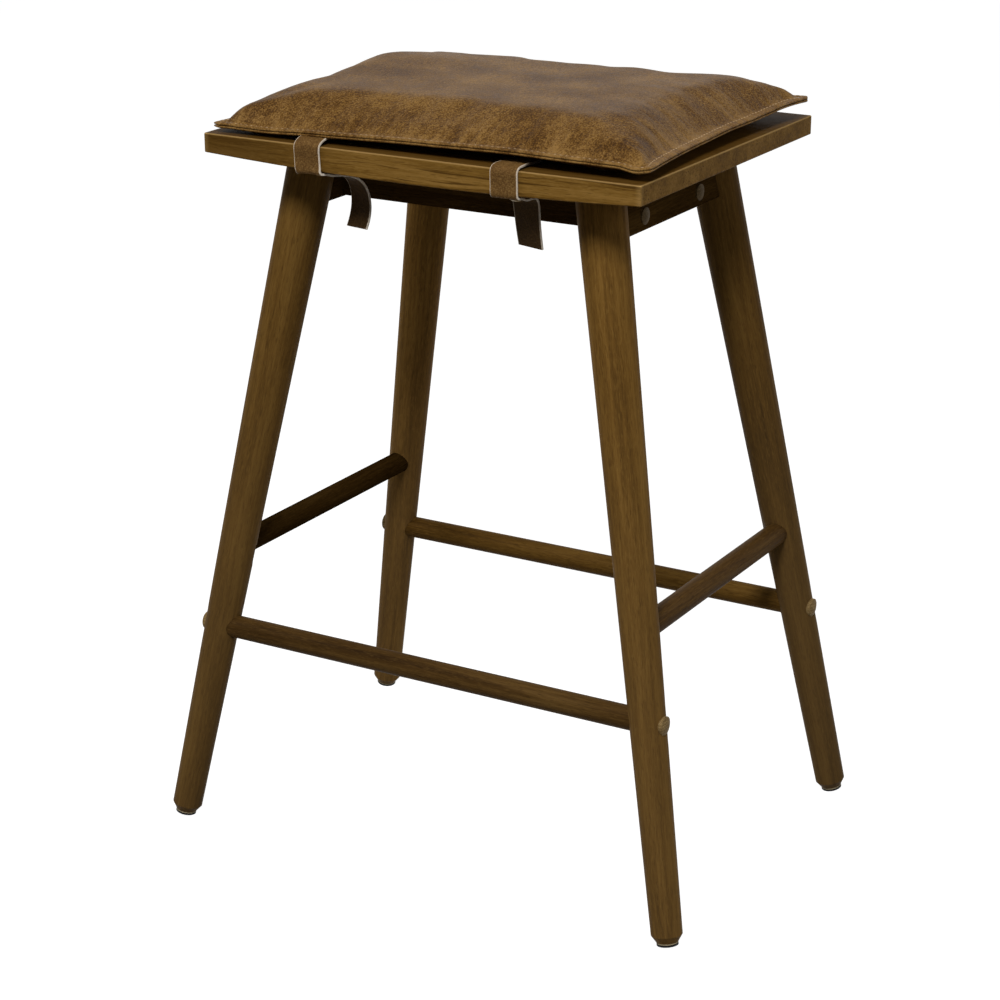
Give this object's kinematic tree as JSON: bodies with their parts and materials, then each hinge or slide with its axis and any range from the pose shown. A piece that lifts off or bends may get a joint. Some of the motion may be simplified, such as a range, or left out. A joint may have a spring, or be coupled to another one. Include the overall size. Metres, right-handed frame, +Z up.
{
  "type": "counter stool",
  "caption": "Backless wooden counter stool with splayed round legs, round foot rails, an arched board and a strapped leather cushion.",
  "frame": {"origin": "on the floor, under the middle of the seat board", "axes": "+X to the right along the seat's long side, -Y to the front edge with the slack strap, +Z up"},
  "size_m": [0.5058, 0.3594, 0.663],
  "materials": {
    "seat_wood": "satin lacquer over a walnut stain",
    "leg_wood": "satin lacquer over a walnut stain",
    "rail_wood": "satin lacquer over a walnut stain",
    "plug_wood": "end grain, satin lacquer",
    "dowel_wood": "bare beech",
    "cushion_leather": "distressed cognac, semi-gloss",
    "strap_leather": "matt, with pale raw edges",
    "cushion_foam": "plain foam",
    "bolt_steel": "zinc plated",
    "insert_metal": "plain",
    "screw_steel": "zinc plated",
    "stud_metal": "antique, satin",
    "glide_pale": "matt",
    "glide_black": "matt"
  },
  "bodies": {
    "root": {"seat_board": "seat_wood", "leg_front_left": "leg_wood", "leg_front_right": "leg_wood", "leg_back_left": "leg_wood", "leg_back_right": "leg_wood", "side_apron_left": "rail_wood", "side_apron_right": "rail_wood", "side_stretcher_left": "leg_wood", "side_stretcher_right": "leg_wood", "seat_rail_front": "rail_wood", "seat_rail_back": "rail_wood", "foot_rail_front": "leg_wood", "foot_rail_back": "leg_wood", "seat_rail_bolts": "bolt_steel", "foot_rail_bolts": "bolt_steel", "seat_rail_inserts": "insert_metal", "foot_rail_inserts": "insert_metal", "seat_rail_dowels": "dowel_wood", "seat_rail_plugs": "plug_wood", "foot_rail_plugs": "plug_wood", "seat_screws": "screw_steel", "glide_nails": "screw_steel", "glide_washers": "glide_pale", "glide_domes": "glide_black", "cushion_filling": "cushion_foam", "cushion_cover_top": "cushion_leather", "cushion_cover_bottom": "cushion_leather", "strap_front_left": "strap_leather", "strap_front_right": "strap_leather", "strap_back_left": "strap_leather", "strap_back_right": "strap_leather", "press_stud_posts": "stud_metal", "press_stud_sockets": "stud_metal", "press_stud_caps": "stud_metal"}
  },
  "joints": []
}
